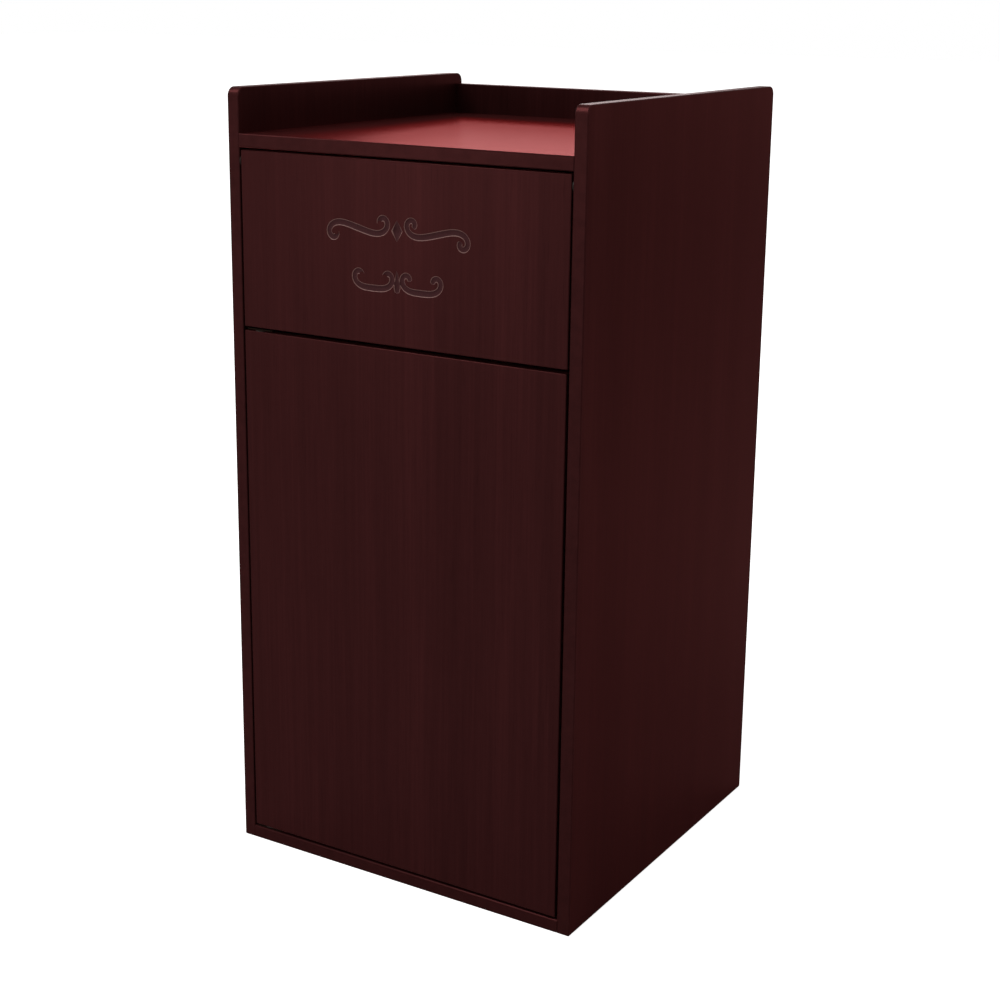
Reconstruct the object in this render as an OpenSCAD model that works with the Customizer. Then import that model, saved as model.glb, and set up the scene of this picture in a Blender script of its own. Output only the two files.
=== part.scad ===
// Free-standing cabinet for a waste bin, with a tray shelf on top, a push flap and a door.
// Origin at the bottom centre. +X is to the right of someone facing it, -Y is its front, +Z is up.

/* [Cabinet] */
// Width over the side panels
cabinet_w = 565; // [540:1:620]
// Depth from the front edges to the back
cabinet_d = 565; // [540:1:620]
// Height of the side panels
cabinet_h = 1118; // [1080:1:1200]
// Thickness of every board
board_t = 19; // [18:0.5:22]
// Radius of the side panels' top corners
side_corner_r = 12.7; // [6:0.1:20]
// Depth of the tray surface below the side panels' tops
tray_depth = 62.5; // [45:0.5:90]
// Height by which the back stays below the side panels
back_drop = 16.5; // [5:0.5:30]

/* [Flap] */
// Height of the flap
flap_h = 246; // [200:1:300]
// Clearance of the flap's top corners under the shelf as it swings
flap_swing_clear = 0.45; // [0.35:0.05:2]
// Gap between the flap and each side panel
flap_side_gap = 2.5; // [2:0.1:3.5]
// Distance of the flap's pivot below its top edge
flap_pivot_drop = 15; // [12:0.5:15]
// Length of the flap's pivot pins
flap_pin_len = 50; // [35:1:70]

/* [Door] */
// Clearance of the door's hinge edge beside the side panel as it swings
door_swing_clear = 0.6; // [0.4:0.05:2]
// Gap between the door and the side panel where it opens
door_latch_gap = 3.8; // [2:0.1:5]
// Distance of the door's pivot from its hinge edge
door_pivot_inset = 24; // [22:0.5:32]
// Free height that the flap keeps over the upper pivot plate
flap_plate_gap = 1.9; // [1.5:0.1:4]

/* [Cross rail] */
// Height of the rail behind the top of the door
rail_h = 70; // [60:1:90]
// Clearance of the rail behind the door's hinge edge as it swings
rail_swing_clear = 1; // [0.5:0.1:5]

/* [Pivots] */
// Diameter of the steel pivot pins
pin_d = 8; // [6:0.5:9]
// Clearance of a pin in its bushing, on the radius
pin_play = 0.05; // [0.03:0.01:0.08]
// Outer diameter of the nylon bushings
bushing_d = 12; // [11:0.5:13]
// Depth of a bushing's sleeve in the board
bushing_len = 14; // [10:0.5:15]
// Diameter of a bushing's flange
bushing_flange_d = 18; // [15:0.5:18.5]
// Thickness of a bushing's flange
bushing_flange_t = 1.2; // [0.8:0.1:1.6]
// Thickness of the pivot plates
plate_t = 2; // [1.5:0.1:3]
// Width of the pivot plates
plate_w = 46; // [42:1:47]
// Spacing of a pivot plate's screws
plate_screw_spacing = 30; // [26:1:32]
// Distance of the pivot plates behind the front
plate_setback = 2.5; // [1:0.5:4]
// Play between the lower plate and the bushing that bears on it
thrust_play = 0.2; // [0.1:0.05:0.3]
// Play between the upper bushing and the upper plate
top_play = 0.3; // [0.2:0.05:1]

/* [Touch latch] */
// Width and height of the latch housing
latch_w = 22; // [20:0.5:24]
// Length of the latch housing
latch_len = 64; // [50:1:80]
// Distance of the latch's axis below the rail
latch_drop = 30; // [22:1:80]
// Diameter of the plunger's stem
plunger_d = 9; // [7:0.5:10]
// Travel of the plunger when the door is pushed in
plunger_travel = 3; // [2:0.5:3]
// Diameter of the magnet at the plunger's tip
magnet_d = 12; // [10:0.5:14]
// Thickness of the magnet
magnet_t = 4; // [3:0.5:5]
// Width of the strike plate on the door
strike_w = 15; // [13:0.5:16]
// Height of the strike plate
strike_h = 44; // [36:1:60]
// Thickness of the strike plate
strike_t = 1; // [0.8:0.1:1.5]
// Gap between the magnet and the strike plate
strike_gap = 0.3; // [0.3:0.05:0.5]

/* [Waste bin] */
// Width and depth of the bin over its rim
bin_rim_w = 450; // [380:1:455]
// Width and depth of the bin at its base
bin_base_w = 360; // [300:1:372]
// Height of the bin
bin_h = 680; // [600:1:685]
// Thickness of the bin's wall
bin_wall = 3; // [2.5:0.1:5]
// Width of the rim outside the wall
bin_lip = 13; // [9:0.5:18]
// Height of the rim's skirt
bin_skirt_h = 26; // [15:1:40]
// Corner radius of the bin at its rim
bin_corner_r = 55; // [40:1:80]

/* [Board fasteners] */
// Diameter of the cam locks
cam_d = 15; // [14:0.5:15]
// Depth of the cam locks
cam_h = 12; // [10:0.5:12.5]
// Distance of a cam lock from the end of its board
cam_setback = 34; // [24:1:40]
// Diameter of the wood dowels
dowel_d = 8; // [6:0.5:10]
// Length of the wood dowels
dowel_len = 30; // [25:1:35]
// Distance of the first fastener from a board's front or rear edge
joint_inset = 70; // [60:1:120]
// Distance between a cam lock and the dowel beside it
dowel_offset = 32; // [24:1:64]

/* [Hidden] */
$fn = 48;

// Colours of the finishes
mahogany = [0.22, 0.10, 0.10];
zinc = [0.72, 0.72, 0.70];
bronzed_steel = [0.22, 0.17, 0.14];
bright_steel = [0.78, 0.79, 0.80];
beech = [0.80, 0.65, 0.45];
white_nylon = [0.90, 0.89, 0.85];
brown_plastic = [0.27, 0.16, 0.12];
dark_magnet = [0.25, 0.25, 0.27];
grey_plastic = [0.36, 0.37, 0.38];

// Fit of what is pressed or glued into a bore, on the radius, and spare depth at a bore's end
press_play = 0.05;
end_play = 0.3;
// Amount by which a cutter runs past the face that it opens
past = 1;

// Cross recess, thread height and clearance hole that the small screws share, on the radius
cross_w = 0.9;
thread_h = 0.4;
screw_hole_play = 0.2;

// Planes of the carcass
front_y = -cabinet_d / 2;
back_inner_y = cabinet_d / 2 - board_t;
inner_w = cabinet_w - 2 * board_t;
tray_z = cabinet_h - tray_depth;
shelf_under_z = tray_z - board_t;
back_top_z = cabinet_h - back_drop;
board_mid_y = front_y + board_t / 2;

// Flap and its pivot
flap_corner_r = norm([flap_pivot_drop, board_t / 2]);
flap_pivot_z = shelf_under_z - flap_swing_clear - flap_corner_r;
flap_top_z = flap_pivot_z + flap_pivot_drop;
flap_bottom_z = flap_top_z - flap_h;
flap_w = inner_w - 2 * flap_side_gap;
flap_pin_reach = bushing_len - end_play;

// Door, whose gaps leave room for the bushings and the pivot plates
door_bottom_z = board_t + plate_t + thrust_play + bushing_flange_t;
upper_plate_z = flap_bottom_z - flap_plate_gap - plate_t;
door_top_z = upper_plate_z - top_play - bushing_flange_t;
door_corner_r = norm([door_pivot_inset, board_t / 2]);
door_axis_x = -inner_w / 2 + door_swing_clear + door_corner_r;
door_left_x = door_axis_x - door_pivot_inset;
door_right_x = inner_w / 2 - door_latch_gap;
door_rear_y = front_y + board_t;

// Rail, whose top edge carries the upper pivot plate
rail_y = board_mid_y + door_corner_r + rail_swing_clear;
rail_mid_y = rail_y + board_t / 2;
rail_bottom_z = upper_plate_z - rail_h;
plate_rear_y = rail_y + board_t - 1;
plate_corner_r = 4;
screw_d = 4;
screw_head_d = 7.6;
screw_len = 15;

// Latch on the right side panel, with its plunger towards the door
latch_x = inner_w / 2 - latch_w / 2;
latch_z = rail_bottom_z - latch_drop;
latch_edge_r = 3;
latch_end_wall = 8;
latch_ear_t = 3;
latch_ear_len = 12;
latch_ear_inset = 4;
latch_screw_d = 3.5;
latch_screw_len = 14;
strike_x = door_right_x - strike_w / 2 - 1;
strike_screw_d = 3;
strike_screw_len = 13;
magnet_tip_y = door_rear_y + strike_t + strike_gap;
magnet_stand_out = 0.5;
plunger_head_d = magnet_d + 2;
plunger_head_t = magnet_t + 1.5;
plunger_head_y = magnet_tip_y + magnet_stand_out;
plunger_stop_gap = 0.5;
latch_front_y = plunger_head_y + plunger_head_t + plunger_travel + plunger_stop_gap;
latch_bore_len = latch_len - latch_end_wall;
plunger_in_bore = 37;
plunger_stem_play = 0.2;
plunger_rear_y = latch_front_y + plunger_in_bore;
spring_wire_d = 0.9;
spring_d = plunger_d - 2.2;
spring_turns = 7;

// Bin, in the middle of the room between the rail and the back
bin_y = (rail_y + board_t + back_inner_y) / 2;
bin_wall_w = bin_rim_w - 2 * bin_lip;
bin_base_r = bin_corner_r * bin_base_w / bin_wall_w;
bin_foot_h = 8;
bin_foot_w = 30;
bin_rim_t = bin_wall + 1;

// Fasteners between the boards: [y, z, turn that points the cam lock's face out of its board]
face_down = 180;
face_front = 90;
face_rear = -90;
shelf_mid_z = tray_z - board_t / 2;
bottom_mid_z = board_t / 2;
back_mid_y = back_inner_y + board_t / 2;
joint_ys = [front_y + joint_inset, back_inner_y - joint_inset];
back_joint_zs = [board_t + 2 * joint_inset, tray_z / 2, tray_z - 2 * joint_inset];
rail_cam_z = rail_bottom_z + 0.26 * rail_h;
rail_dowel_z = rail_bottom_z + 0.61 * rail_h;
cam_joints = concat(
    [for (y = joint_ys) [y, shelf_mid_z, face_down]],
    [for (y = joint_ys) [y, bottom_mid_z, face_down]],
    [for (z = back_joint_zs) [back_mid_y, z, face_front]],
    [[rail_mid_y, rail_cam_z, face_rear]]
);
inboard = [dowel_offset, -dowel_offset];
dowel_joints = concat(
    [for (i = [0, 1]) [joint_ys[i] + inboard[i], shelf_mid_z]],
    [for (i = [0, 1]) [joint_ys[i] + inboard[i], bottom_mid_z]],
    [for (z = back_joint_zs) [back_mid_y, z + dowel_offset]],
    [[rail_mid_y, rail_dowel_z]]
);
// Dowels that tie the shelf and the bottom to the back: [x, z]
back_dowels = [for (z = [shelf_mid_z, bottom_mid_z]) for (x = [-inner_w / 3, 0, inner_w / 3]) [x, z]];
bolt_thread_d = 5;
bolt_thread_len = 11;
bolt_shank_d = 6;
bolt_bore_d = 8;
bolt_head_d = 6.6;
bolt_head_len = 3;
bolt_neck_d = 4;
bolt_neck_len = 4;
dowel_side_len = dowel_len / 3;

// Rectangle with rounded corners, centred
module rounded_rect(w, d, r) {
    square([w - 2 * r, d], center = true);
    square([w, d - 2 * r], center = true);
    for (x = [-1, 1], y = [-1, 1])
        translate([x * (w / 2 - r), y * (d / 2 - r)]) circle(r);
}

// Block given by its lowest and its highest corner
module block(low, high) {
    translate(low) cube(high - low);
}

// Places its children at both ends of a board, with +X pointing from the side panel into the board
module at_joint(y, z) {
    for (side = [-1, 1])
        translate([side * inner_w / 2, y, z])
            mirror([side > 0 ? 1 : 0, 0, 0])
                children();
}

// Bores of all the fasteners, cut from whichever board they pass through
module joint_bores() {
    for (j = cam_joints)
        at_joint(j[0], j[1]) {
            translate([-bolt_thread_len - end_play, 0, 0]) rotate([0, 90, 0])
                cylinder(d = bolt_thread_d + 2 * press_play, h = bolt_thread_len + end_play + past);
            rotate([0, 90, 0]) cylinder(d = bolt_bore_d, h = cam_setback + bolt_head_len);
            translate([cam_setback, 0, 0]) rotate([j[2], 0, 0])
                translate([0, 0, board_t / 2 - cam_h - end_play])
                    cylinder(d = cam_d + 2 * press_play, h = cam_h + end_play + past);
        }
    for (j = dowel_joints)
        at_joint(j[0], j[1])
            translate([-dowel_side_len - end_play, 0, 0]) rotate([0, 90, 0])
                cylinder(d = dowel_d + 2 * press_play, h = dowel_len + 2 * end_play);
    for (p = back_dowels)
        translate([p[0], back_inner_y + dowel_side_len + end_play, p[1]]) rotate([90, 0, 0])
            cylinder(d = dowel_d + 2 * press_play, h = dowel_len + 2 * end_play);
}

// Side panel's outline, seen from the side: square at the floor and rounded at the top corners
module side_outline() {
    translate([front_y, 0]) square([cabinet_d, cabinet_h - side_corner_r]);
    translate([front_y + side_corner_r, 0]) square([cabinet_d - 2 * side_corner_r, cabinet_h]);
    for (y = [-1, 1])
        translate([y * (cabinet_d / 2 - side_corner_r), cabinet_h - side_corner_r])
            circle(side_corner_r);
}

// Side panel that starts at its inner face, with the blind bore of the flap's bushing
module side_panel(side) {
    difference() {
        translate([side > 0 ? inner_w / 2 : -cabinet_w / 2, 0, 0])
            rotate([90, 0, 90]) linear_extrude(board_t) side_outline();
        joint_bores();
        at_flap_pivot(side)
            cylinder(d = bushing_d + 2 * press_play, h = 2 * (bushing_len + end_play), center = true);
        if (side > 0)
            latch_screw_positions() pan_screw_bore(latch_screw_d, latch_screw_len - latch_ear_t);
    }
}

// Places its children on the flap's axis at a side panel's inner face, with +Z pointing outward
module at_flap_pivot(side) {
    translate([side * inner_w / 2, board_mid_y, flap_pivot_z]) rotate([0, side * 90, 0]) children();
}

module left_side_panel() {
    color(mahogany) side_panel(-1);
}

module right_side_panel() {
    color(mahogany) side_panel(1);
}

// Back between the side panels, down to the floor
module back_panel() {
    color(mahogany) difference() {
        block([-inner_w / 2, back_inner_y, 0], [inner_w / 2, cabinet_d / 2, back_top_z]);
        joint_bores();
    }
}

module top_shelf() {
    color(mahogany) difference() {
        block([-inner_w / 2, front_y, shelf_under_z], [inner_w / 2, back_inner_y, tray_z]);
        joint_bores();
    }
}

module bottom_panel() {
    color(mahogany) difference() {
        block([-inner_w / 2, front_y, 0], [inner_w / 2, back_inner_y, board_t]);
        joint_bores();
        translate([0, 0, board_t + plate_t]) plate_screw_holes() plate_screw(press_play);
    }
}

// Rail behind the top of the door, with the upper pivot plate on its top edge
module cross_rail() {
    color(mahogany) difference() {
        block([-inner_w / 2, rail_y, rail_bottom_z], [inner_w / 2, rail_y + board_t, upper_plate_z]);
        joint_bores();
        translate([0, 0, upper_plate_z + plate_t]) plate_screw_holes() plate_screw(press_play);
    }
}

// Die-cast cam, open on one side for the head of its bolt, with a cross recess in its face
module cam_lock() {
    recess_w = 1.6;
    difference() {
        translate([0, 0, board_t / 2 - cam_h]) cylinder(d = cam_d, h = cam_h);
        for (a = [0, 90])
            rotate([0, 0, a]) translate([0, 0, board_t / 2])
                cube([cam_d * 0.6, recess_w, 5], center = true);
    }
}

module cam_locks() {
    color(zinc) for (j = cam_joints)
        at_joint(j[0], j[1])
            difference() {
                translate([cam_setback, 0, 0]) rotate([j[2], 0, 0]) cam_lock();
                rotate([0, 90, 0]) cylinder(d = bolt_bore_d, h = cam_setback + bolt_head_len);
            }
}

// Bolt turned from one bar: thread, collar, shank, neck and the head that the cam grips
module cam_bolt() {
    head_x = cam_setback - bolt_head_len / 2;
    shank_end = head_x - bolt_neck_len;
    rotate([0, 90, 0]) rotate_extrude() polygon([
        [0, -bolt_thread_len], [bolt_thread_d / 2 - 0.6, -bolt_thread_len],
        [bolt_thread_d / 2, 1 - bolt_thread_len], [bolt_thread_d / 2, 0],
        [bolt_bore_d / 2 - 0.3, 0], [bolt_bore_d / 2 - 0.3, 1.5], [bolt_shank_d / 2, 2.5],
        [bolt_shank_d / 2, shank_end - 1], [bolt_neck_d / 2, shank_end], [bolt_neck_d / 2, head_x],
        [bolt_head_d / 2, head_x + 0.5], [bolt_head_d / 2, head_x + bolt_head_len - 0.8],
        [0, head_x + bolt_head_len]
    ]);
}

module cam_bolts() {
    color(bright_steel) for (j = cam_joints)
        at_joint(j[0], j[1]) cam_bolt();
}

// Fluted beech dowel with chamfered ends, from z = 0
module dowel() {
    chamfer = 1;
    cylinder(d1 = dowel_d - 2 * chamfer, d2 = dowel_d, h = chamfer);
    translate([0, 0, chamfer]) cylinder(d = dowel_d, h = dowel_len - 2 * chamfer);
    translate([0, 0, dowel_len - chamfer]) cylinder(d1 = dowel_d, d2 = dowel_d - 2 * chamfer, h = chamfer);
}

module wood_dowels() {
    color(beech) {
        for (j = dowel_joints)
            at_joint(j[0], j[1]) translate([-dowel_side_len, 0, 0]) rotate([0, 90, 0]) dowel();
        for (p = back_dowels)
            translate([p[0], back_inner_y + dowel_side_len, p[1]]) rotate([90, 0, 0]) dowel();
    }
}

// Flap that hangs from two pins in its ends
module flap_panel() {
    color(mahogany) difference() {
        block([-flap_w / 2, front_y, flap_bottom_z], [flap_w / 2, front_y + board_t, flap_top_z]);
        for (side = [-1, 1])
            at_flap_pivot(side) translate([0, 0, flap_pin_reach - flap_pin_len - end_play])
                cylinder(d = pin_d + 2 * press_play, h = flap_pin_len);
    }
}

// Steel pin with chamfered ends, from z = 0
module pivot_pin(len) {
    chamfer = 0.6;
    rotate_extrude() polygon([
        [0, 0], [pin_d / 2 - chamfer, 0], [pin_d / 2, chamfer], [pin_d / 2, len - chamfer],
        [pin_d / 2 - chamfer, len], [0, len]
    ]);
}

module flap_pivot_pins() {
    color(bright_steel) for (side = [-1, 1])
        at_flap_pivot(side) translate([0, 0, flap_pin_reach - flap_pin_len]) pivot_pin(flap_pin_len);
}

// Nylon bushing: a sleeve in the board from z = 0 up and a flange that stands out of it
module flanged_bushing() {
    difference() {
        union() {
            cylinder(d = bushing_d, h = bushing_len);
            translate([0, 0, -bushing_flange_t]) cylinder(d = bushing_flange_d, h = bushing_flange_t);
        }
        translate([0, 0, -bushing_flange_t - past])
            cylinder(d = pin_d + 2 * pin_play, h = bushing_flange_t + bushing_len + 2 * past);
    }
}

module flap_bushings() {
    color(brown_plastic) for (side = [-1, 1])
        at_flap_pivot(side) flanged_bushing();
}

// Places its children on the door's axis at its lower and its upper end, with +Z pointing into the door
module at_door_pivots() {
    translate([door_axis_x, board_mid_y, door_bottom_z]) children();
    translate([door_axis_x, board_mid_y, door_top_z]) rotate([180, 0, 0]) children();
}

module door_panel() {
    color(mahogany) difference() {
        block([door_left_x, front_y, door_bottom_z], [door_right_x, door_rear_y, door_top_z]);
        at_door_pivots() translate([0, 0, -past])
            cylinder(d = bushing_d + 2 * press_play, h = past + bushing_len + end_play);
        strike_screw_positions() pan_screw_bore(strike_screw_d, strike_screw_len - strike_t);
    }
}

module door_bushings() {
    color(brown_plastic) at_door_pivots() flanged_bushing();
}

// Places its children at a pivot plate's two screws
module plate_screw_holes() {
    for (x = [-1, 1])
        translate([door_axis_x + x * plate_screw_spacing / 2, rail_mid_y, 0]) children();
}

// Pivot plate, stamped with rounded corners, from z = 0 up; its screws are countersunk from its top
module pivot_plate() {
    plate_d = plate_rear_y - front_y - plate_setback;
    difference() {
        translate([door_axis_x, front_y + plate_setback + plate_d / 2, 0])
            linear_extrude(plate_t) rounded_rect(plate_w, plate_d, plate_corner_r);
        translate([door_axis_x, board_mid_y, -past])
            cylinder(d = pin_d - 2 + 2 * press_play, h = plate_t + 2 * past);
        translate([0, 0, plate_t]) plate_screw_holes() plate_screw(press_play);
    }
}

module door_pivot_plates() {
    color(bronzed_steel) {
        translate([0, 0, board_t]) pivot_plate();
        translate([0, 0, upper_plate_z]) pivot_plate();
    }
}

// Shouldered pin: the thin end is riveted into the plate below z = 0, the thick end runs in the bushing
module door_pin() {
    chamfer = 0.6;
    rivet_d = pin_d - 2;
    reach = bushing_flange_t + bushing_len - end_play;
    rotate_extrude() polygon([
        [0, -plate_t], [rivet_d / 2, -plate_t], [rivet_d / 2, 0], [pin_d / 2, 0],
        [pin_d / 2, reach - chamfer], [pin_d / 2 - chamfer, reach], [0, reach]
    ]);
}

module door_pivot_pins() {
    color(bright_steel) {
        translate([door_axis_x, board_mid_y, board_t + plate_t]) door_pin();
        translate([door_axis_x, board_mid_y, upper_plate_z]) rotate([180, 0, 0]) door_pin();
    }
}

// Countersunk wood screw with its head's face at z = 0; grow widens it into its own bore
module plate_screw(grow = 0) {
    head_h = (screw_head_d - screw_d) / 2;
    depth = screw_len + (grow > 0 ? end_play : 0);
    rotate_extrude() polygon([
        [0, 0], [screw_head_d / 2 + grow, 0], [screw_d / 2 + grow, -head_h],
        [screw_d / 2 + grow, 3 - depth], [0, -depth]
    ]);
}

module pivot_plate_screws() {
    color(bright_steel) for (z = [board_t + plate_t, upper_plate_z + plate_t])
        translate([0, 0, z]) plate_screw_holes() difference() {
            plate_screw();
            for (a = [0, 90])
                rotate([0, 0, a]) cube([screw_d * 1.1, cross_w, 2.4], center = true);
        }
}

// Places its children on the latch's axis at the housing's front, with +Z pointing to the rear
module at_latch() {
    translate([latch_x, latch_front_y, latch_z]) rotate([-90, 0, 0]) children();
}

// Places its children at the latch's four screws, on the side panel's inner face, with +Z into the panel
module latch_screw_positions() {
    from_end = latch_ear_inset + latch_ear_len / 2;
    for (y = [from_end, latch_len - from_end], z = [-1, 1])
        translate([inner_w / 2, latch_front_y + y, latch_z + z * (latch_w / 2 + latch_ear_len / 2)])
            rotate([0, 90, 0]) children();
}

// Moulded housing with a blind bore for the plunger and two pairs of screw ears along the side panel
module latch_housing() {
    color(brown_plastic) difference() {
        union() {
            at_latch() linear_extrude(latch_len) rounded_rect(latch_w, latch_w, latch_edge_r);
            translate([inner_w / 2 - latch_edge_r, latch_front_y, latch_z - latch_w / 2])
                cube([latch_edge_r, latch_len, latch_w]);
            for (y = [latch_ear_inset, latch_len - latch_ear_len - latch_ear_inset])
                block(
                    [inner_w / 2 - latch_ear_t, latch_front_y + y, latch_z - latch_w / 2 - latch_ear_len],
                    [inner_w / 2, latch_front_y + y + latch_ear_len, latch_z + latch_w / 2 + latch_ear_len]
                );
        }
        at_latch() translate([0, 0, -past])
            cylinder(d = plunger_d + 2 * plunger_stem_play, h = latch_bore_len + past);
        latch_screw_positions()
            cylinder(d = latch_screw_d + 2 * screw_hole_play, h = 2 * latch_ear_t + past, center = true);
    }
}

// Pan-head screw with the head's underside at z = 0 and the thread along +Z
module pan_screw(d, len) {
    head_d = 1.9 * d;
    head_h = 0.6 * d;
    bevel = 0.8;
    core_r = d / 2 - thread_h;
    difference() {
        rotate_extrude() polygon([
            [0, -head_h], [head_d / 2 - bevel, -head_h], [head_d / 2, bevel - head_h], [head_d / 2, 0],
            [core_r, 0], [core_r, len - 2], [0, len]
        ]);
        for (a = [0, 90])
            rotate([0, 0, a]) translate([0, 0, -head_h]) cube([d * 1.1, cross_w, 1.6], center = true);
    }
}

// Bore that a pan-head screw's core is driven into, from z = 0 up
module pan_screw_bore(d, depth) {
    translate([0, 0, -past])
        cylinder(d = d - 2 * thread_h + 2 * press_play, h = past + depth + end_play);
}

module latch_screws() {
    color(bright_steel) latch_screw_positions()
        translate([0, 0, -latch_ear_t]) pan_screw(latch_screw_d, latch_screw_len);
}

// Compression spring behind the plunger, wound as one tube along a helix
module latch_spring() {
    steps = 16;
    sides = 6;
    start = spring_wire_d / 2 + 0.1;
    len = latch_front_y + latch_bore_len - plunger_rear_y - 2 * start;
    rings = spring_turns * steps;
    r = (spring_d - spring_wire_d) / 2;
    function point(i, s) =
        let (a = 360 * i / steps, b = 360 * s / sides, rr = r + spring_wire_d / 2 * cos(b))
            [rr * cos(a), rr * sin(a), start + len * i / rings + spring_wire_d / 2 * sin(b)];
    points = [for (i = [0:rings]) for (s = [0:sides - 1]) point(i, s)];
    walls = [
        for (i = [0:rings - 1]) for (s = [0:sides - 1]) for (half = [0, 1])
            let (a = i * sides + s, b = i * sides + (s + 1) % sides)
                half == 0 ? [a, a + sides, b] : [b, a + sides, b + sides]
    ];
    ends = [for (i = [0, rings]) for (s = [1:sides - 2])
        i == 0 ? [0, s, s + 1] : [i * sides, i * sides + s + 1, i * sides + s]];
    color(bright_steel) translate([latch_x, plunger_rear_y, latch_z]) rotate([-90, 0, 0])
        polyhedron(points, concat(walls, ends));
}

// Plunger: a stem that slides in the housing and a cup that holds the magnet
module latch_plunger() {
    stem_end = plunger_rear_y - plunger_head_y;
    color(white_nylon) translate([latch_x, plunger_head_y, latch_z]) rotate([-90, 0, 0])
        difference() {
            union() {
                cylinder(d = plunger_head_d, h = plunger_head_t);
                translate([0, 0, plunger_head_t]) cylinder(d = plunger_d, h = stem_end - plunger_head_t);
            }
            translate([0, 0, -past])
                cylinder(d = magnet_d + 2 * press_play, h = magnet_t - magnet_stand_out + past);
        }
}

module latch_magnet() {
    color(dark_magnet) translate([latch_x, magnet_tip_y, latch_z]) rotate([-90, 0, 0])
        cylinder(d = magnet_d, h = magnet_t);
}

// Places its children at the strike plate's screws on the door's rear face, with +Z into the door
module strike_screw_positions() {
    for (z = [-1, 1])
        translate([strike_x, door_rear_y, latch_z + z * (strike_h / 2 - 6)]) rotate([90, 0, 0]) children();
}

module strike_plate() {
    color(zinc) difference() {
        translate([strike_x, door_rear_y + strike_t, latch_z]) rotate([90, 0, 0])
            linear_extrude(strike_t) rounded_rect(strike_w, strike_h, 2);
        strike_screw_positions()
            cylinder(d = strike_screw_d + 2 * screw_hole_play, h = 2 * strike_t + past, center = true);
    }
}

module strike_screws() {
    color(bright_steel) strike_screw_positions()
        translate([0, 0, -strike_t]) pan_screw(strike_screw_d, strike_screw_len);
}

// Thin slab with the bin's outline, used to loft its tapered walls
module bin_slab(w, r, z) {
    translate([0, 0, z]) linear_extrude(0.01) rounded_rect(w, w, r, $fn = 32);
}

// Solid frustum between two outlines of the bin
module bin_loft(low_w, low_r, low_z, high_w, high_r, high_z) {
    hull() {
        bin_slab(low_w, low_r, low_z);
        bin_slab(high_w, high_r, high_z);
    }
}

// Straight prism with the rim's outline, shrunk by inset, between two heights
module rim_prism(low_z, high_z, inset = 0) {
    w = bin_rim_w - 2 * inset;
    r = bin_corner_r + bin_lip - inset;
    translate([0, 0, low_z]) linear_extrude(high_z - low_z) rounded_rect(w, w, r, $fn = 32);
}

// Moulded tub: tapered walls, a rim with a skirt, hand grips, ribs under the rim and a foot ring
module waste_bin() {
    inner_base_w = bin_base_w - 2 * bin_wall;
    inner_top_w = bin_wall_w - 2 * bin_wall;
    foot_hollow_w = bin_base_w - 2 * bin_foot_w;
    skirt_z = bin_h - bin_skirt_h;
    grip_w = 120;
    grip_h = 26;
    rib_t = 3;
    color(grey_plastic) translate([0, bin_y, board_t]) difference() {
        union() {
            difference() {
                rim_prism(skirt_z, bin_h);
                rim_prism(skirt_z - past, bin_h - bin_rim_t, bin_rim_t);
            }
            bin_loft(bin_base_w, bin_base_r, 0, bin_wall_w, bin_corner_r, bin_h);
            for (side = [-1, 1])
                translate([side * (bin_rim_w / 2 - bin_rim_t / 2), 0, skirt_z - grip_h / 2 + past])
                    cube([bin_rim_t, grip_w, grip_h + 2 * past], center = true);
            for (turn = [0:90:270], i = [-1, 1])
                rotate([0, 0, turn])
                    translate([bin_wall_w / 2 - bin_wall, i * bin_wall_w / 4 - rib_t / 2, skirt_z])
                        cube([bin_lip + bin_wall - bin_rim_t / 2, rib_t, bin_skirt_h - bin_rim_t / 2]);
        }
        bin_loft(
            inner_base_w, bin_base_r - bin_wall, bin_foot_h + bin_wall,
            inner_top_w, bin_corner_r - bin_wall, bin_h + 0.1
        );
        bin_loft(
            foot_hollow_w, bin_base_r - bin_foot_w / 2, -past,
            foot_hollow_w - bin_foot_h, bin_base_r - bin_foot_w / 2, bin_foot_h
        );
    }
}

left_side_panel();
right_side_panel();
back_panel();
top_shelf();
bottom_panel();
cross_rail();
cam_locks();
cam_bolts();
wood_dowels();
flap_panel();
flap_pivot_pins();
flap_bushings();
door_panel();
door_bushings();
door_pivot_plates();
door_pivot_pins();
pivot_plate_screws();
latch_housing();
latch_screws();
latch_spring();
latch_plunger();
latch_magnet();
strike_plate();
strike_screws();
waste_bin();
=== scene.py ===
# Tray top waste receptacle cabinet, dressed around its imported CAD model
import math

import bmesh
import bpy
from mathutils import Matrix, Vector


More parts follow.
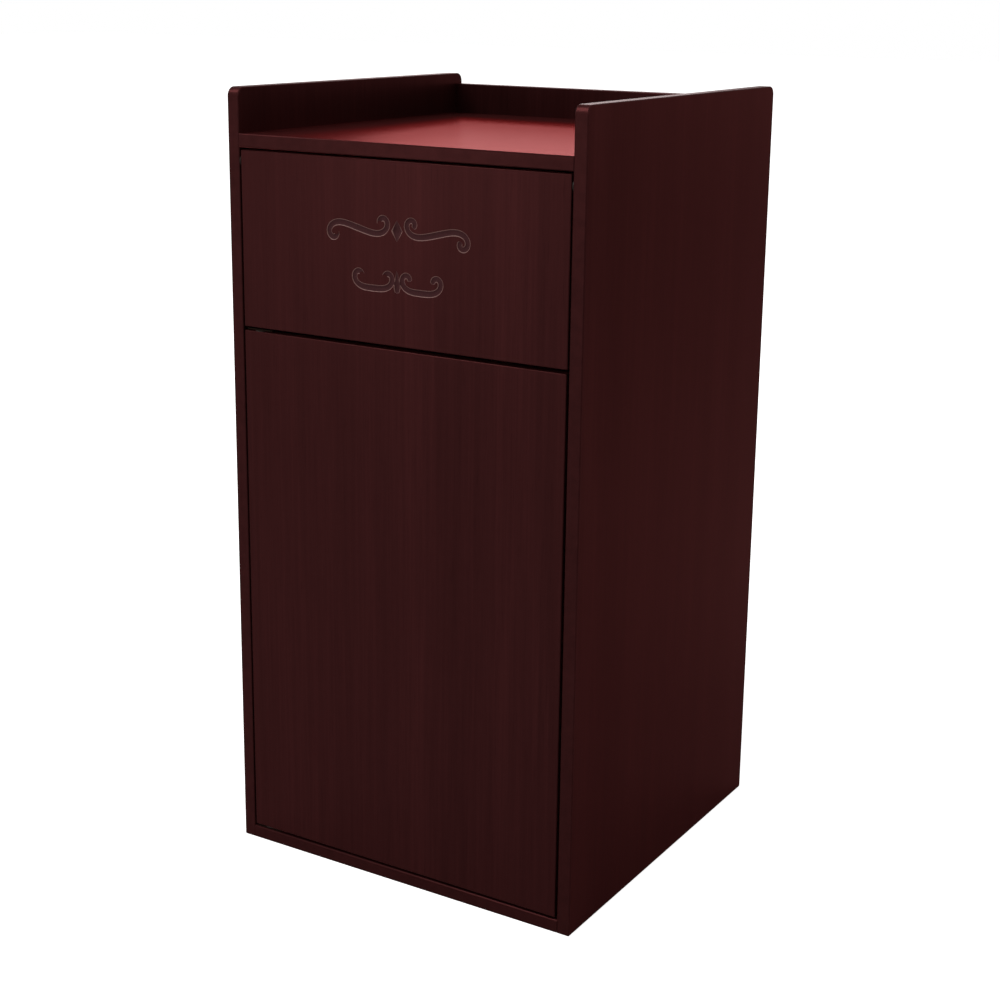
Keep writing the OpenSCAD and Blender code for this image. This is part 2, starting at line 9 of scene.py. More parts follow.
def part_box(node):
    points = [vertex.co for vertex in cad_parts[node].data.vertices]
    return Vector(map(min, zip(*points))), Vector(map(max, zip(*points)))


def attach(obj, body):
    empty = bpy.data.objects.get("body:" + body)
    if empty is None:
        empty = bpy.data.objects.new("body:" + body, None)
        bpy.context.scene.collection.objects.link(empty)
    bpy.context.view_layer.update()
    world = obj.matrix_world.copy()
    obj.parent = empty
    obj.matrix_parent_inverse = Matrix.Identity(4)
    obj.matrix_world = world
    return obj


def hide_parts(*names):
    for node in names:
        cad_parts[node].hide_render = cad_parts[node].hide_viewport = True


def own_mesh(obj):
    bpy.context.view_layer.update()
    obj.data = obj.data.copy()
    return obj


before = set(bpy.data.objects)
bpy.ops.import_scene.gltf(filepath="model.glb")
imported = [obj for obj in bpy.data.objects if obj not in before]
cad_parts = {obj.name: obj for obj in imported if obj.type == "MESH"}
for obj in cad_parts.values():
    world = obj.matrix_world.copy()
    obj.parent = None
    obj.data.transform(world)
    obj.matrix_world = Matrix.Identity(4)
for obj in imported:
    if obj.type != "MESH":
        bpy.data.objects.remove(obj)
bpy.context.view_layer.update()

# Boards of the carcass
# Particle board 19 mm thick, faced with mahogany melamine and edged with a matching PVC band.
# The band is trimmed flush and eased, and the boards are joined by dowels and cam locks.
MM = 0.001
EASE = 1.5 * MM
LOOSE = 1e-6


def linear(hex_colour):
    """The linear colour of an sRGB hex value."""
    parts = [int(hex_colour[i:i + 2], 16) / 255 for i in (1, 3, 5)]
    return tuple(c / 12.92 if c <= 0.04045 else ((c + 0.055) / 1.055) ** 2.4 for c in parts) + (1,)


def add_node(material, kind, inputs, **settings):
    """Adds a node with its settings. An input that is given a socket is linked to it."""
    node = material.node_tree.nodes.new(kind)
    for name, value in settings.items():
        setattr(node, name, value)
    for name, value in inputs.items():
        if isinstance(value, bpy.types.NodeSocket):
            material.node_tree.links.new(value, node.inputs[name])
        else:
            node.inputs[name].default_value = value
    return node


def start_material(name, **constants):
    """A new material and its shader, with the constants that are given set on its own sockets."""
    material = bpy.data.materials.new(name)
    material.use_nodes = True
    shader = material.node_tree.nodes["Principled BSDF"]
    for socket, value in constants.items():
        shader.inputs[socket.replace("_", " ")].default_value = value
    return material, shader


def ramp(material, factor, *stops):
    """Colour of a pattern: each stop is a position and a hex colour."""
    node = add_node(material, "ShaderNodeValToRGB", {"Fac": factor})
    while len(node.color_ramp.elements) < len(stops):
        node.color_ramp.elements.new(0.5)
    for element, (position, colour) in zip(node.color_ramp.elements, stops):
        element.position = position
        element.color = linear(colour)
    return node.outputs["Color"]


# The print's streaks, and how finely its broad bands and its pores are drawn against them
STREAK_WIDTH, STREAK_LENGTH = 5 * MM, 260 * MM
BANDS_FINER, PORES_FINER = 0.07, 4
GLOSS_SPREAD = 0.03


def mahogany_melamine(name, grain_axis, roughness, **shine):
    """Melamine foil printed as straight-grained mahogany. The print gives faint streaks along the
    board, broad bands a hand wide and short dark pores. Its pressed satin surface shines in its own
    colour, the more so the flatter it is looked along."""
    across, along = 1 / STREAK_WIDTH, 1 / STREAK_LENGTH
    material, shader = start_material(name, Specular_IOR_Level=0.0, **shine)
    place = add_node(material, "ShaderNodeTexCoord", {}).outputs["Object"]

    def stretched(finer):
        scale = [across * finer] * 3
        scale[grain_axis] = along * finer
        mapping = add_node(material, "ShaderNodeMapping", {"Vector": place, "Scale": scale})
        return mapping.outputs["Vector"]

    streaks = add_node(material, "ShaderNodeTexNoise", {
        "Vector": stretched(1), "Scale": 1.0, "Detail": 5.0, "Roughness": 0.6, "Distortion": 0.3})
    bands = add_node(material, "ShaderNodeTexNoise", {
        "Vector": stretched(BANDS_FINER), "Scale": 1.0, "Detail": 2.0})
    pores = add_node(material, "ShaderNodeTexNoise", {
        "Vector": stretched(PORES_FINER), "Scale": 1.0, "Detail": 1.0})
    figure = add_node(material, "ShaderNodeMix", {
        0: 0.45, 2: streaks.outputs["Fac"], 3: bands.outputs["Fac"]}, data_type="FLOAT")
    print_colour = ramp(
        material, figure.outputs[0], (0.3, "#341818"), (0.5, "#3a1b1b"), (0.7, "#421f1f"))
    pore_mask = add_node(material, "ShaderNodeMapRange", {
        "Value": pores.outputs["Fac"], "From Min": 0.62, "From Max": 0.72, "To Max": 0.35})
    with_pores = add_node(material, "ShaderNodeMix", {
        0: pore_mask.outputs["Result"], 6: print_colour, 7: linear("#241011")}, data_type="RGBA")
    material.node_tree.links.new(with_pores.outputs[2], shader.inputs["Base Color"])
    gloss = add_node(material, "ShaderNodeMapRange", {
        "Value": streaks.outputs["Fac"],
        "To Min": roughness - GLOSS_SPREAD, "To Max": roughness + GLOSS_SPREAD})
    material.node_tree.links.new(gloss.outputs["Result"], shader.inputs["Roughness"])
    relief = add_node(material, "ShaderNodeBump", {
        "Height": pores.outputs["Fac"], "Strength": 0.04, "Distance": 0.1 * MM})
    material.node_tree.links.new(relief.outputs["Normal"], shader.inputs["Normal"])
    return material


satin = dict(Metallic=0.6, Specular_Tint=linear("#d4c0bf"),
             Sheen_Weight=0.4, Sheen_Roughness=0.3, Sheen_Tint=linear("#ff7070"))
upright_melamine = mahogany_melamine("melamine_mahogany_upright_grain", 2, 0.3, **satin)
level_painted_sheen = {**satin, "Specular_Tint": linear("#ee9898"), "Sheen_Weight": 0.1}
level_melamine = mahogany_melamine("melamine_mahogany_level_grain", 0, 0.24, **level_painted_sheen)
# The level boards are a copy of the same melamine with a painted sheen: a redder shine that rises
# where they are looked along, standing in for the light on the tray's top
grazing = add_node(level_melamine, "ShaderNodeLayerWeight", {"Blend": 0.5}).outputs["Facing"]
painted_grazing_sheen = add_node(level_melamine, "ShaderNodeMapRange", {
    "Value": grazing, "From Min": 0.66, "From Max": 0.9, "To Min": 0.08, "To Max": 0.6},
    interpolation_type="SMOOTHSTEP")
level_shader = level_melamine.node_tree.nodes["Principled BSDF"]
level_melamine.node_tree.links.new(painted_grazing_sheen.outputs["Result"], level_shader.inputs["Metallic"])

# PVC edge band in the same mahogany colour: extruded, with a faint mottle instead of grain
edge_band, band_shader = start_material(
    "pvc_edge_band_mahogany", Roughness=0.3, Metallic=0.6, Specular_IOR_Level=0.0,
    Specular_Tint=linear("#cbc4c4"),
    Sheen_Weight=0.1, Sheen_Roughness=0.3, Sheen_Tint=linear("#ff7070"))
band_place = add_node(edge_band, "ShaderNodeTexCoord", {}).outputs["Object"]
band_mottle = add_node(edge_band, "ShaderNodeTexNoise", {
    "Vector": band_place, "Scale": 1 / (12 * MM), "Detail": 3.0})
edge_band.node_tree.links.new(
    ramp(edge_band, band_mottle.outputs["Fac"], (0.3, "#361919"), (0.7, "#3c1c1c")),
    band_shader.inputs["Base Color"])


def sharp_edges(mesh, angle):
    """The edges at which two faces meet at more than an angle in degrees."""
    return [e for e in mesh.edges
            if len(e.link_faces) == 2 and e.calc_face_angle() > math.radians(angle)]


def outline_edges(mesh, longer_than=100 * MM):
    """Sharp edges round the outside of a board. Its bores' rims are short loops, and left out."""
    mesh.edges.index_update()
    sharp = set(sharp_edges(mesh, 30))
    kept = []
    while sharp:
        loop, front = [], [sharp.pop()]
        while front:
            edge = front.pop()
            loop.append(edge)
            near = {e for v in edge.verts for e in v.link_edges} & sharp
            sharp -= near
            front += near
        points = [v.co for e in loop for v in e.verts]
        span = max(max(p[i] for p in points) - min(p[i] for p in points) for i in range(3))
        if span > longer_than:
            kept += loop
    return sorted(kept, key=lambda edge: edge.index)


def make_piece(name, mesh, body, slot, *materials):
    """An object from a bmesh, with its materials, that rides on a body."""
    data = bpy.data.meshes.new(name)
    mesh.to_mesh(data)
    mesh.free()
    for material in materials:
        data.materials.append(material)
    piece = bpy.data.objects.new(name, data)
    bpy.context.scene.collection.objects.link(piece)
    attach(piece, body)
    return piece


def merged_copy(node):
    """The CAD node's mesh as one skin: its loose triangles merged and its flat faces joined."""
    mesh = bmesh.new()
    mesh.from_mesh(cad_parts[node].data)
    bmesh.ops.remove_doubles(mesh, verts=mesh.verts, dist=LOOSE)
    bmesh.ops.dissolve_limit(
        mesh, angle_limit=math.radians(0.5), verts=mesh.verts, edges=mesh.edges)
    return mesh


def eased_board(name, node, body, thickness_axis, melamine, along=None):
    """A board with its outer edges rounded. along keeps it to the edges that run in that direction,
    where a board's ends butt against its neighbours."""
    mesh = merged_copy(node)
    edges = outline_edges(mesh)
    if along is not None:
        edges = [e for e in edges
                 if abs((e.verts[0].co - e.verts[1].co).normalized()[along]) > 0.99]
    eased = bmesh.ops.bevel(
        mesh, geom=edges, offset=EASE, offset_type="OFFSET", segments=3, profile=0.5,
        affect="EDGES", material=-1, clamp_overlap=True)
    for face in mesh.faces:
        face.smooth = False
        face.material_index = 1 if abs(face.normal[thickness_axis]) < 0.5 else 0
    for face in eased["faces"]:
        face.smooth = True
        face.material_index = 1
    board = make_piece(name, mesh, body, "mahogany_laminate", melamine, edge_band)
    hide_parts(node)
    return board


eased_board("side_board_left", "left_side_panel", "cabinet", 0, upright_melamine)
eased_board("side_board_right", "right_side_panel", "cabinet", 0, upright_melamine)
eased_board("back_board", "back_panel", "cabinet", 1, upright_melamine, along=0)
eased_board("tray_shelf_board", "top_shelf", "cabinet", 2, level_melamine, along=0)
eased_board("bottom_board", "bottom_panel", "cabinet", 2, level_melamine, along=0)
eased_board("rail_board", "cross_rail", "cabinet", 1, level_melamine, along=0)

# Door
# The same board, hung in the opening and edged on all four sides.
# Its ends are bored for the nylon pivot bushings.
eased_board("door_board", "door_panel", "door", 1, upright_melamine)

# Flap
# The same board, edged all round, that swings in above the bin when waste is pushed through.
# A round-nosed router bit has cut scrolls through its foil, and a cone bit has broken their rims.
flap_board = eased_board("flap_board", "flap_panel", "flap", 1, upright_melamine)
FLAP_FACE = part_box("flap_panel")[0].y
GROOVE_HALF, GROOVE_DEPTH = 3.9 * MM, 1.4 * MM
RIM_WIDTH, RIM_DEPTH = 0.8 * MM, 0.5 * MM
STROKE_STEPS = 44

# The cutters' outline across a groove, as sideways and depth. It goes on a little above the face.
ABOVE = 0.1 * MM
FLARE = GROOVE_HALF + RIM_WIDTH * (1 + ABOVE / RIM_DEPTH)
nose = [math.radians(15 * i) for i in range(1, 12)]
BIT = [(FLARE, -ABOVE), (GROOVE_HALF, RIM_DEPTH)]
BIT += [(GROOVE_HALF * math.cos(a), RIM_DEPTH + (GROOVE_DEPTH - RIM_DEPTH) * math.sin(a))
        for a in nose]
BIT += [(-GROOVE_HALF, RIM_DEPTH), (-FLARE, -ABOVE)]


def scroll(middle, heading, length, turn, power, s_shaped):
    """A stroke as (x, z, heading, width) in millimetres. It is nearly straight in its middle and
    curls up towards both ends, to opposite sides if it is s-shaped and to the same side if not."""
    halves = []
    for way in (-1, 1):
        x, z = middle
        half = []
        for i in range(STROKE_STEPS):
            before, after = math.sqrt(i / STROKE_STEPS), math.sqrt((i + 1) / STROKE_STEPS)
            on_way, at_stop = (
                math.radians(heading + turn * t ** power * (1 if s_shaped else way))
                for t in ((before + after) / 2, after))
            step = way * (after - before) * length / 2
            x += step * math.cos(on_way)
            z += step * math.sin(on_way)
            half.append((x, z, at_stop, 1 - 0.15 * after))
        halves.append(half)
    return halves[0][::-1] + [(*middle, math.radians(heading), 1)] + halves[1]


def leaf(low, high, widths):
    """An upright stroke on the middle line, with its widths at evenly spaced points."""
    step = (high - low) / (len(widths) - 1)
    return [(0, low + step * i, math.radians(90), width) for i, width in enumerate(widths)]


def mirrored(stroke):
    """The stroke on the other side of the middle line."""
    return [(-x, z, math.pi - angle, width) for x, z, angle, width in stroke]


def extruded(mesh, ring):
    """Extrudes a ring of edges, and gives the new ring's edges and its vertices."""
    grown = bmesh.ops.extrude_edge_only(mesh, edges=ring)["geom"]
    fresh = {g for g in grown if isinstance(g, bmesh.types.BMVert)}
    edges = [g for g in grown
             if isinstance(g, bmesh.types.BMEdge) and all(v in fresh for v in g.verts)]
    return edges, fresh


def cut_stroke(mesh, stroke, middle_z):
    """Adds the cutter's sweep along a stroke to a mesh, with both ends rounded off."""
    first, last = stroke[0], stroke[-1]
    stops = [math.radians(a) for a in (87, 75, 60, 45, 30, 15)]
    reach = GROOVE_HALF / MM

    def rounded_end(point, way):
        x, z, angle, width = point
        out = [(x + way * reach * width * math.sin(a) * math.cos(angle),
                z + way * reach * width * math.sin(a) * math.sin(angle), angle, width * math.cos(a))
               for a in stops]
        return out if way < 0 else out[::-1]

    places = []
    for x, z, angle, width in rounded_end(first, -1) + stroke + rounded_end(last, 1):
        places.append(
            Matrix.Translation((x * MM, FLAP_FACE, middle_z + z * MM))
            @ Matrix.Rotation(-angle, 4, "Y") @ Matrix.Diagonal((1, width, width, 1)))
    verts = [mesh.verts.new(places[0] @ Vector((0, depth, side))) for side, depth in BIT]
    ring = [mesh.edges.new((verts[i - 1], verts[i])) for i in range(len(verts))]
    mesh.faces.new(verts)
    for before, after in zip(places, places[1:]):
        ring, moved = extruded(mesh, ring)
        bmesh.ops.transform(mesh, matrix=after @ before.inverted(), verts=list(moved))
    bmesh.ops.contextual_create(mesh, geom=ring)


def put_in_order(mesh):
    """Numbers edges and faces in the order of their vertices, because extruding an edge numbers
    them differently at each run."""
    mesh.verts.index_update()
    for elements in (mesh.edges, mesh.faces):
        ranked = sorted(elements, key=lambda element: sorted(v.index for v in element.verts))
        for i, element in enumerate(ranked):
            element.index = i
        elements.sort()


ORNAMENT_Z, ORNAMENT_HALF_W, ORNAMENT_HALF_H = 909 * MM, 120 * MM, 60 * MM
long_scroll = scroll((63, 33), 14, 154, -310, 3.2, True)
short_scroll = scroll((38.5, -46), 0, 112, 260, 2.6, False)
lozenge = leaf(19, 47, (0.05, 0.5, 1.0, 1.5, 1.9, 1.5, 1.0, 0.5, 0.05))
drop = leaf(-46, -20, (0.9, 1.15, 1.1, 0.9, 0.7, 0.5, 0.3, 0.1))
cutters = bmesh.new()
for stroke in (long_scroll, mirrored(long_scroll)[::-1], short_scroll, mirrored(short_scroll)[::-1],
               lozenge, drop):
    cut_stroke(cutters, stroke, ORNAMENT_Z)
bmesh.ops.recalc_face_normals(cutters, faces=cutters.faces)
put_in_order(cutters)
cutter_mesh = bpy.data.meshes.new("router_path")
cutters.to_mesh(cutter_mesh)
cutters.free()
cutter = bpy.data.objects.new("router_path", cutter_mesh)
bpy.context.scene.collection.objects.link(cutter)

# The groove's floor is stained particle board, dull and a little rough from the cutter
routed_core, core_shader = start_material(
    "stained_routed_core", Roughness=0.6, Specular_IOR_Level=0.1)
core_place = add_node(routed_core, "ShaderNodeTexCoord", {}).outputs["Object"]
chips = add_node(routed_core, "ShaderNodeTexNoise", {
    "Vector": core_place, "Scale": 1 / (0.9 * MM), "Detail": 3.0, "Roughness": 0.6})
routed_core.node_tree.links.new(
    ramp(routed_core, chips.outputs["Fac"], (0.35, "#3b1c1e"), (0.65, "#472325")),
    core_shader.inputs["Base Color"])
core_relief = add_node(routed_core, "ShaderNodeBump", {
    "Height": chips.outputs["Fac"], "Strength": 0.35, "Distance": 0.15 * MM})
routed_core.node_tree.links.new(core_relief.outputs["Normal"], core_shader.inputs["Normal"])

# The broken rim is given a paler colour: a painted highlight for the light its edge catches
rim_highlight_paint, rim_shader = start_material("cut_rim_painted_highlight", Roughness=0.5, Specular_IOR_Level=0.2)
rim_place = add_node(rim_highlight_paint, "ShaderNodeTexCoord", {}).outputs["Object"]
rim_marks = add_node(rim_highlight_paint, "ShaderNodeTexNoise", {
    "Vector": rim_place, "Scale": 1 / (1.5 * MM), "Detail": 2.0})
rim_highlight_paint.node_tree.links.new(
    ramp(rim_highlight_paint, rim_marks.outputs["Fac"], (0.35, "#7d5a54"), (0.65, "#936d66")),
    rim_shader.inputs["Base Color"])

carve = flap_board.modifiers.new("router", "BOOLEAN")
carve.operation, carve.solver, carve.object, carve.use_self = "DIFFERENCE", "EXACT", cutter, True
routed = bmesh.new()
routed.from_object(flap_board, bpy.context.evaluated_depsgraph_get())
flap_board.modifiers.remove(carve)
bpy.data.objects.remove(cutter)
for face in routed.faces:
    depth = max(v.co.y for v in face.verts) - FLAP_FACE
    middle = face.calc_center_median()
    inside = abs(middle.x) < ORNAMENT_HALF_W and abs(middle.z - ORNAMENT_Z) < ORNAMENT_HALF_H
    if inside and LOOSE < depth < 2 * GROOVE_DEPTH:
        face.smooth = True
        on_face = any(v.co.y < FLAP_FACE + LOOSE for v in face.verts)
        # Faces on the broken rim take the painted highlight, the rest of the groove the stained
        # core
        face.material_index = 3 if on_face and depth < 2 * RIM_DEPTH else 2
for edge in sharp_edges(routed, 28):
    edge.smooth = False
flap_board.data.materials.append(routed_core)
flap_board.data.materials.append(rim_highlight_paint)
routed.to_mesh(flap_board.data)
routed.free()

# Small fittings
# Cam locks and strike plate are zinc plated, the pivot plates bronzed, the rest is bright steel.
# The plunger is moulded in natural nylon, the bushings in brown nylon and the housing in ABS.
MOTTLE_GLOSS_SPREAD = 0.06


def plain_finish(name, low, high, grain, metallic, roughness, bump, **constants):
    """A finish with a fine mottle between two close colours. grain is its marks' size in metres."""
    material, shader = start_material(name, Metallic=metallic, **constants)
    place = add_node(material, "ShaderNodeTexCoord", {}).outputs["Object"]
    marks = add_node(material, "ShaderNodeTexNoise", {
        "Vector": place, "Scale": 1 / grain, "Detail": 4.0, "Roughness": 0.55})
    material.node_tree.links.new(
        ramp(material, marks.outputs["Fac"], (0.3, low), (0.7, high)), shader.inputs["Base Color"])
    gloss = add_node(material, "ShaderNodeMapRange", {
        "Value": marks.outputs["Fac"],
        "To Min": roughness - MOTTLE_GLOSS_SPREAD, "To Max": roughness + MOTTLE_GLOSS_SPREAD})
    material.node_tree.links.new(gloss.outputs["Result"], shader.inputs["Roughness"])
    relief = add_node(material, "ShaderNodeBump", {
        "Height": marks.outputs["Fac"], "Strength": bump, "Distance": 0.1 * MM})
    material.node_tree.links.new(relief.outputs["Normal"], shader.inputs["Normal"])
    return material


# Zinc plating is pale grey and satin, turned steel is brighter, and bare beech pale and matt
zinc_plate = plain_finish("zinc_plated_steel", "#9b9c98", "#b6b7b2", 1.2 * MM, 1, 0.36, 0.1)
turned_steel = plain_finish("turned_bright_steel", "#b4b6b8", "#cfd1d3", 0.8 * MM, 1, 0.26, 0.08)
beech_wood = plain_finish("beech_dowel_wood", "#b58d5c", "#cfa878", 1.5 * MM, 0, 0.6, 0.3)
# Nylon is milky with a soft shine, bronzed steel dull and nearly black
natural_nylon = plain_finish("moulded_natural_nylon", "#d8d6cc", "#e4e2da", 2 * MM, 0, 0.42, 0.1)
bronzed_plate = plain_finish(
    "bronzed_steel_plate", "#1d1612", "#2a211b", 1.2 * MM, 0.1, 0.6, 0.1,
    Specular_IOR_Level=0.0, Specular_Tint=linear("#4a3c34"))
# Moulded ABS and brown nylon are dark with a soft shine, and ground ferrite is a dull dark grey
brown_plastic = plain_finish("moulded_brown_abs", "#38241a", "#412b20", 1 * MM, 0, 0.45, 0.2)
brown_nylon = plain_finish(
    "moulded_brown_nylon", "#21150f", "#2a1b14", 1.5 * MM, 0, 0.5, 0.1, Specular_IOR_Level=0.25)
ferrite = plain_finish("ground_ferrite_magnet", "#343437", "#404044", 0.6 * MM, 0.4, 0.5, 0.3)

for finish, nodes in (
    (zinc_plate, ("cam_locks", "strike_plate")),
    (bronzed_plate, ("door_pivot_plates",)),
    (turned_steel, ("cam_bolts", "flap_pivot_pins", "door_pivot_pins", "pivot_plate_screws",
                    "latch_screws", "strike_screws")),
    (beech_wood, ("wood_dowels",)),
    (natural_nylon, ("latch_plunger",)),
    (brown_plastic, ("latch_housing",)),
    (brown_nylon, ("flap_bushings", "door_bushings")),
    (ferrite, ("latch_magnet",)),
):
    for node in nodes:
        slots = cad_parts[node].material_slots
        for slot in slots:
            slot.material = finish

# The touch latch's spring is coiled from bright wire. It stands on the bottom of its bore, and the
# plunger squeezes it on its way in.
spring_wire = merged_copy("latch_spring")
for face in spring_wire.faces:
    face.smooth = True
coil_spring = make_piece("coil_spring", spring_wire, "cabinet", "steel", turned_steel)
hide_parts("latch_spring")
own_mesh(coil_spring)

# Waste bin
# One-piece tub moulded in grey polyethylene, with a rolled rim, two grips, ribs under the rim and a
# foot ring. It stands loose on the bottom board and is lifted out through the door.

# Moulded polyethylene looks waxy, with a broad soft shine over a fine texture
bin_plastic = plain_finish(
    "moulded_grey_polyethylene", "#45474a", "#505356", 1.5 * MM, 0, 0.5, 0.25)
bin_low, bin_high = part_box("waste_bin")
bin_middle = (bin_low + bin_high) / 2

# The wall's section in millimetres, as half width, corner radius and height above the foot. It runs
# from the floor inside up to the rim, over it and down its skirt, then down the outside to the
# hollow under the foot.
BIN_SECTION = [
    (150, 30, 11), (168, 38, 11), (174, 41, 12.5), (177.3, 43, 17),
    (205, 51, 590), (206.2, 52, 598), (207.2, 52, 604), (209, 52, 672), (210, 53, 677),
    (213, 55, 680), (220, 63, 680), (223, 66, 679), (225, 68, 676),
    (225, 68, 656), (224.4, 67.4, 654.3), (223, 66, 654), (221.6, 64.6, 654.3), (221, 64, 656),
    (221, 64, 674), (219.5, 62.5, 676), (214, 57, 676), (212, 55, 674), (210, 55, 604),
    (209, 55, 598), (207.8, 54, 590), (181.5, 47, 30), (180, 46.5, 6),
    (178.5, 45, 1.5), (175.5, 42, 0), (156, 34, 0), (151, 31, 2), (149, 30, 8), (120, 24, 8),
]
CORNER_STEPS, SIDE_STEPS = 8, 24

# The grips are raised stretches of the skirt's foot, in the middle of the left and right sides
SKIRT_HALF, SKIRT_FOOT_LOW, SKIRT_FOOT_HIGH = 220, 650, 660
GRIP_WIDTH, GRIP_RISE, GRIP_FADE = 120, 26, 24

# Two ribs under the rim on each side: half width, distance from the side's middle, height, and size
RIB_HALF, RIB_OFF, RIB_HEIGHT = 216.4, 106, 665
RIB_SIZE = (9.6, 3, 21)


def bin_ring_spot(index, half, radius):
    """Where a ring's vertex lies, with so many of them round each corner and along each side."""
    quarter, step = divmod(index, CORNER_STEPS + SIDE_STEPS)
    flat = half - radius
    if step <= CORNER_STEPS:
        angle = math.radians(90 * step / CORNER_STEPS)
        spot = Vector((flat + radius * math.cos(angle), flat + radius * math.sin(angle), 0))
    else:
        along = (step - CORNER_STEPS) / SIDE_STEPS
        spot = Vector((flat - 2 * flat * along, half, 0))
    return Matrix.Rotation(math.radians(90) * quarter, 3, "Z") @ spot


tub = bmesh.new()
ring_size = 4 * (CORNER_STEPS + SIDE_STEPS)
half, radius, height = BIN_SECTION[0]
verts = [tub.verts.new(bin_ring_spot(i, half, radius) + Vector((0, 0, height)))
         for i in range(ring_size)]
ring = [tub.edges.new((verts[i - 1], verts[i])) for i in range(ring_size)]
tub.faces.new(verts)
for half, radius, height in BIN_SECTION[1:]:
    ring, fresh = extruded(tub, ring)
    partner = {edge.other_vert(v): v for v in fresh for edge in v.link_edges
               if edge.other_vert(v) not in fresh}
    verts = [partner[v] for v in verts]
    for i, vert in enumerate(verts):
        vert.co = bin_ring_spot(i, half, radius) + Vector((0, 0, height))
        off_grip = max(abs(vert.co.y) - (GRIP_WIDTH - GRIP_FADE) / 2, 0) / GRIP_FADE
        on_skirt = SKIRT_FOOT_LOW < height < SKIRT_FOOT_HIGH and half > SKIRT_HALF
        if on_skirt and off_grip < 1 and abs(vert.co.x) > half - 1:
            ease = off_grip * off_grip * (3 - 2 * off_grip)
            vert.co.z -= GRIP_RISE * (1 - ease)
bmesh.ops.contextual_create(tub, geom=ring)
for quarter in range(4):
    for side in (-1, 1):
        turned = Matrix.Rotation(math.radians(90) * quarter, 4, "Z")
        spot = Matrix.Translation((RIB_HALF, side * RIB_OFF, RIB_HEIGHT))
        bmesh.ops.create_cube(tub, size=1, matrix=turned @ spot @ Matrix.Diagonal((*RIB_SIZE, 1)))
foot = Matrix.Translation((bin_middle.x, bin_middle.y, bin_low.z))
bmesh.ops.transform(tub, verts=tub.verts, matrix=foot @ Matrix.Diagonal((MM, MM, MM, 1)))
bmesh.ops.recalc_face_normals(tub, faces=tub.faces)
for face in tub.faces:
    face.smooth = True
for edge in sharp_edges(tub, 32):
    edge.smooth = False
put_in_order(tub)
moulded_bin = make_piece("moulded_bin", tub, "cabinet", "bin_plastic", bin_plastic)
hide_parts("waste_bin")

# Studio
# A plain pale floor and plain soft light, with the camera where the photograph was taken from.
floor_mesh = bmesh.new()
bmesh.ops.create_grid(floor_mesh, x_segments=1, y_segments=1, size=30)
floor_data = bpy.data.meshes.new("studio_floor")
floor_mesh.to_mesh(floor_data)
floor_mesh.free()
floor = bpy.data.objects.new("studio_floor", floor_data)
bpy.context.scene.collection.objects.link(floor)

floor_paint, floor_shader = start_material(
    "studio_floor_paint", Base_Color=linear("#f2f2f2"), Roughness=0.9)
floor_data.materials.append(floor_paint)
floor_glow = add_node(floor_paint, "ShaderNodeEmission", {})
floor_rays = add_node(floor_paint, "ShaderNodeLightPath", {})
floor_place = add_node(floor_paint, "ShaderNodeTexCoord", {}).outputs["Object"]
floor_away = add_node(floor_paint, "ShaderNodeVectorMath", {0: floor_place}, operation="LENGTH")
# Away from the cabinet and its shadow the lamps reach less, and the floor's white makes up for them
floor_white = add_node(floor_paint, "ShaderNodeMapRange", {
    "Value": floor_away.outputs["Value"],
    "From Min": 1.5, "From Max": 4.0, "To Min": 0.85, "To Max": 1.0})
floor_strength = add_node(floor_paint, "ShaderNodeMath", {
    0: floor_white.outputs["Result"], 1: floor_rays.outputs["Is Camera Ray"]}, operation="MULTIPLY")
floor_paint.node_tree.links.new(floor_strength.outputs[0], floor_glow.inputs["Strength"])
floor_look = add_node(floor_paint, "ShaderNodeAddShader", {
    0: floor_shader.outputs[0], 1: floor_glow.outputs[0]})
floor_paint.node_tree.links.new(
    floor_look.outputs[0], floor_paint.node_tree.nodes["Material Output"].inputs["Surface"])

studio = bpy.data.worlds.new("studio")
studio.use_nodes = True
bpy.context.scene.world = studio
sky = studio.node_tree.nodes["Background"]
sky_rays = add_node(studio, "ShaderNodeLightPath", {})
seen = add_node(studio, "ShaderNodeMath", {
    0: sky_rays.outputs["Is Camera Ray"], 1: sky_rays.outputs["Is Glossy Ray"]},
    operation="MAXIMUM")
seen_through = add_node(studio, "ShaderNodeMath", {
    0: seen.outputs[0], 1: sky_rays.outputs["Is Transmission Ray"]}, operation="MAXIMUM")
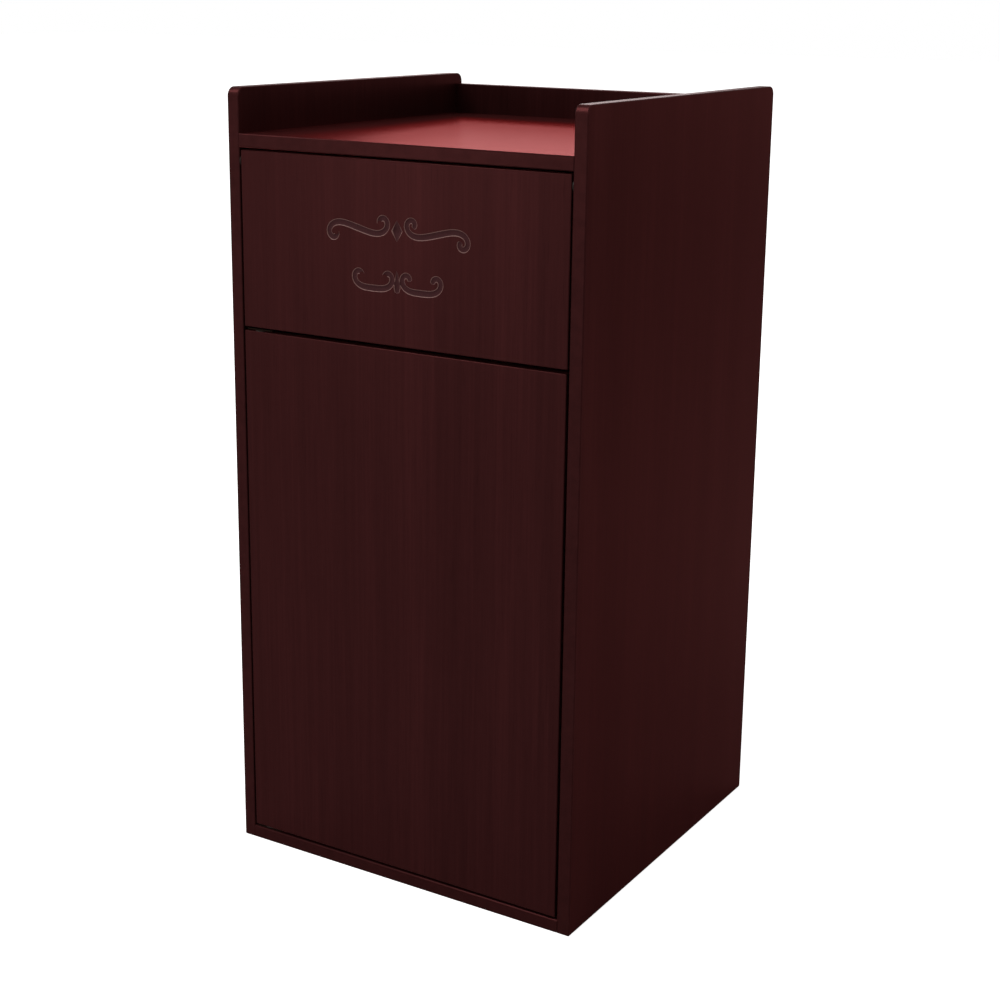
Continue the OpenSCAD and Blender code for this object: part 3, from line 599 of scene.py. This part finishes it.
# The studio's soft light: a little from the horizon, where its backdrop stands, and more overhead
sky_way = add_node(studio, "ShaderNodeTexCoord", {}).outputs["Generated"]
sky_height = add_node(studio, "ShaderNodeSeparateXYZ", {"Vector": sky_way}).outputs["Z"]
sky_light = add_node(studio, "ShaderNodeMapRange", {
    "Value": sky_height, "From Min": 0.02, "From Max": 0.3, "To Min": 0.2, "To Max": 0.34},
    interpolation_type="SMOOTHSTEP")
sky_strength = add_node(studio, "ShaderNodeMix", {
    0: seen_through.outputs[0], 2: sky_light.outputs["Result"], 3: 1.0}, data_type="FLOAT")
studio.node_tree.links.new(sky_strength.outputs[0], sky.inputs["Strength"])
sky.inputs["Color"].default_value = (1, 1, 1, 1)


def soft_lamp(name, place, aim, size, power):
    """A square soft box that shines from one point towards another."""
    lamp = bpy.data.lights.new(name, "AREA")
    lamp.size = size
    lamp.energy = power
    holder = bpy.data.objects.new(name, lamp)
    bpy.context.scene.collection.objects.link(holder)
    holder.location = place
    holder.rotation_mode = "QUATERNION"
    holder.rotation_quaternion = (Vector(aim) - Vector(place)).to_track_quat("-Z", "Y")
    return holder


soft_lamp("soft_box_main", (-2.2, -2.0, 4.4), (0, 0, 0.5), 2.5, 104)
soft_lamp("soft_box_low", (-3.4, -5.4, 0.45), (0, 0, 0.5), 0.9, 9)
soft_lamp("soft_box_rear", (-2.05, 3.55, 2.6), (0, 0, 1.05), 1.3, 32)

# The camera stands a little above the tray, to the right of the front
VIEW_TURN, VIEW_DROP, VIEW_ROLL = (math.radians(a) for a in (31.43, 14.334, 0.725))
camera = bpy.data.objects.new("camera", bpy.data.cameras.new("camera"))
bpy.context.scene.collection.objects.link(camera)
bpy.context.scene.camera = camera
camera.data.lens = 64.237
camera.data.shift_y = -0.06
back = Vector((
    math.sin(VIEW_TURN) * math.cos(VIEW_DROP),
    -math.cos(VIEW_TURN) * math.cos(VIEW_DROP),
    math.sin(VIEW_DROP)))
level_view = (-back).to_track_quat("-Z", "Y").to_matrix()
camera.rotation_mode = "QUATERNION"
camera.rotation_quaternion = (Matrix.Rotation(VIEW_ROLL, 3, back) @ level_view).to_quaternion()
camera.location = (1.3378, -2.2051, 1.2584)

bpy.context.scene.view_settings.view_transform = "Standard"
